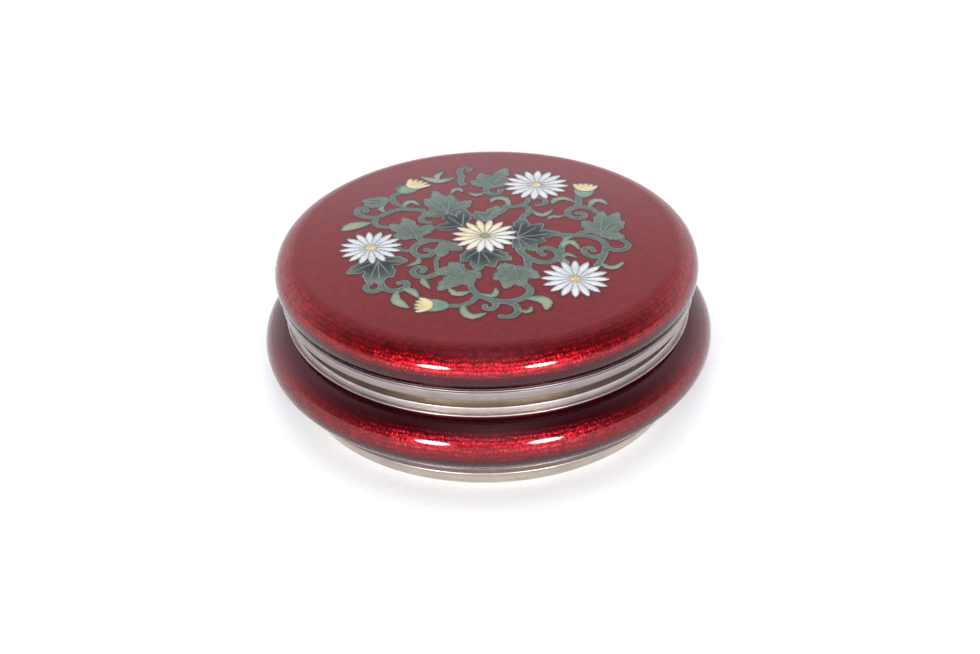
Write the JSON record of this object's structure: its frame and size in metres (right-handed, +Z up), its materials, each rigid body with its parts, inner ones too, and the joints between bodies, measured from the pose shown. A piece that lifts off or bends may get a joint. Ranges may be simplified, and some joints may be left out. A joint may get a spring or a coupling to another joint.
{
  "type": "round trinket box",
  "caption": "Low round trinket box in red enamel over foil with silver mounts; its domed lid, inlaid with flowers and scrolling stems, lifts off over an inner collar.",
  "frame": {"origin": "centre of the foot's underside, on the surface that the box stands on", "axes": "+Z up along the box's axis of turning, +X to the right and +Y away from the front of the lid's flower pattern"},
  "size_m": [0.09, 0.09, 0.0322],
  "materials": {
    "red_enamel": "deep translucent red enamel, glossy, over bright embossed foil",
    "silver_foil": "bright foil embossed with a fine diaper pattern",
    "copper": "spun copper, hidden under the enamel",
    "blue_enamel": "glossy opaque counter enamel",
    "silver_mount": "polished silver with fine turning lines and light tarnish",
    "silver_foot": "worn silver with warm tarnish",
    "gilt_collar": "worn gilding, brownish",
    "silver_wire": "flat-ground fine silver wire",
    "white_enamel": "opaque white enamel, glossy",
    "cream_enamel": "opaque cream enamel, glossy",
    "yellow_enamel": "opaque yellow enamel, glossy",
    "moss_enamel": "opaque moss green enamel, glossy",
    "dark_green_enamel": "opaque grey-green enamel, glossy",
    "pale_green_enamel": "opaque pale green enamel, glossy",
    "stem_green_enamel": "opaque grey-green enamel, glossy",
    "bud_cream_enamel": "opaque straw-coloured enamel, glossy"
  },
  "bodies": {
    "bowl": {"foot_ring": "silver_foot", "lower_mount": "silver_mount", "bowl_copper": "copper", "bowl_foil": "silver_foil", "bowl_enamel": "red_enamel", "bowl_lining": "blue_enamel", "bowl_underside": "blue_enamel", "bowl_rim": "silver_mount", "collar": "gilt_collar"},
    "lid": {"lid_copper": "copper", "lid_foil": "silver_foil", "lid_enamel": "red_enamel", "lid_lining": "blue_enamel", "lid_rim": "silver_mount", "white_petals": "white_enamel", "cream_petals": "cream_enamel", "flower_centres": "yellow_enamel", "green_centre": "moss_enamel", "dark_leaves": "dark_green_enamel", "pale_leaves": "pale_green_enamel", "scroll_stems": "stem_green_enamel", "bud_petals": "bud_cream_enamel", "bud_cups": "pale_green_enamel", "petal_wires": "silver_wire", "leaf_wires": "silver_wire", "stem_wires": "silver_wire", "bud_wires": "silver_wire"}
  },
  "joints": [
    {"name": "lid_lift", "type": "slide", "parent": "bowl", "child": "lid", "axis": [0, 0, 1], "range_m": [0, 0.04]}
  ]
}
